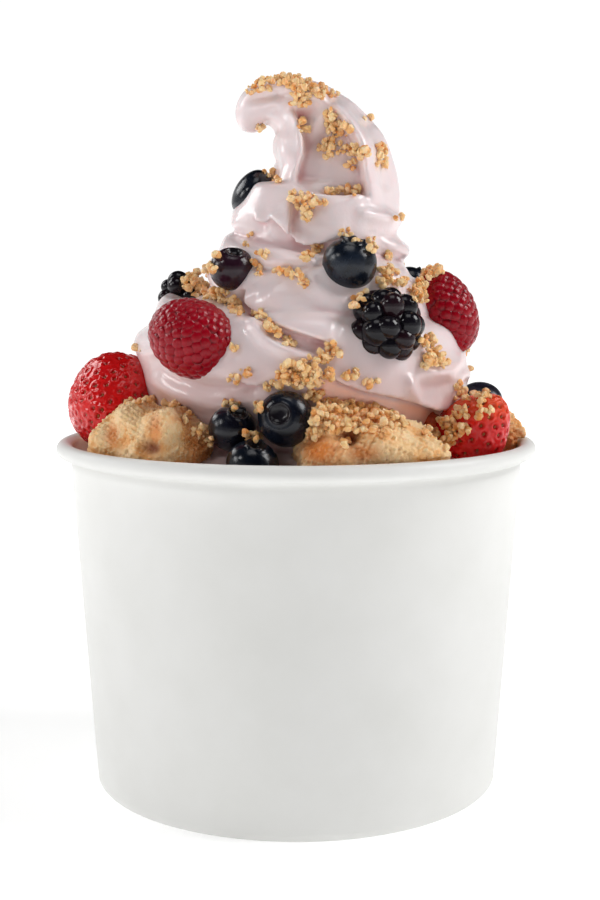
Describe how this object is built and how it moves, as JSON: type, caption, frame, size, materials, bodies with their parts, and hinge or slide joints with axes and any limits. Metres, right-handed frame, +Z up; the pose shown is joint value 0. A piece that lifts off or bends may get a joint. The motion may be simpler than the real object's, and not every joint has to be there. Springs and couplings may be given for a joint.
{
  "type": "frozen yogurt cup",
  "caption": "Soft-serve frozen yogurt wound up to a hooked peak in a plain white paper cup, with cobbler chunks, berries and chopped nuts heaped above the rim.",
  "frame": {"origin": "centre of the cup's base, on the surface that the cup stands on", "axes": "+Z up along the cup's axis, -Y the front, towards which the heap's hooked peak is seen from the side, +X to the right when seen from the front"},
  "size_m": [0.1118, 0.1118, 0.1639],
  "materials": {
    "cup": "plain white coated paperboard, satin, with a rolled rim",
    "frozen_yogurt": "pale pink soft-serve frozen yogurt, soft sheen, slightly translucent, with golden chopped nuts on it",
    "blueberry": "dark blue skin with a grey bloom",
    "raspberry": "moist red drupelets",
    "bramble": "glossy near-black drupelets",
    "strawberry": "glossy red with small yellow seeds in dimples",
    "cobbler": "golden brown baked crust, rough and crumbly"
  },
  "bodies": {
    "root": {"cup": "cup", "frozen_yogurt": "frozen_yogurt", "blueberry_1": "blueberry", "blueberry_2": "blueberry", "blueberry_3": "blueberry", "blueberry_4": "blueberry", "blueberry_5": "blueberry", "blueberry_6": "blueberry", "blueberry_7": "blueberry", "blueberry_8": "blueberry", "blueberry_9": "blueberry", "blueberry_10": "blueberry", "blueberry_11": "blueberry", "raspberry_1": "raspberry", "raspberry_2": "raspberry", "raspberry_3": "raspberry", "bramble_1": "bramble", "bramble_2": "bramble", "bramble_3": "bramble", "strawberry_1": "strawberry", "strawberry_2": "strawberry", "strawberry_3": "strawberry", "cobbler_chunk_1": "cobbler", "cobbler_chunk_2": "cobbler", "cobbler_chunk_3": "cobbler", "cobbler_chunk_4": "cobbler", "cobbler_chunk_5": "cobbler", "cobbler_chunk_6": "cobbler"}
  },
  "joints": []
}
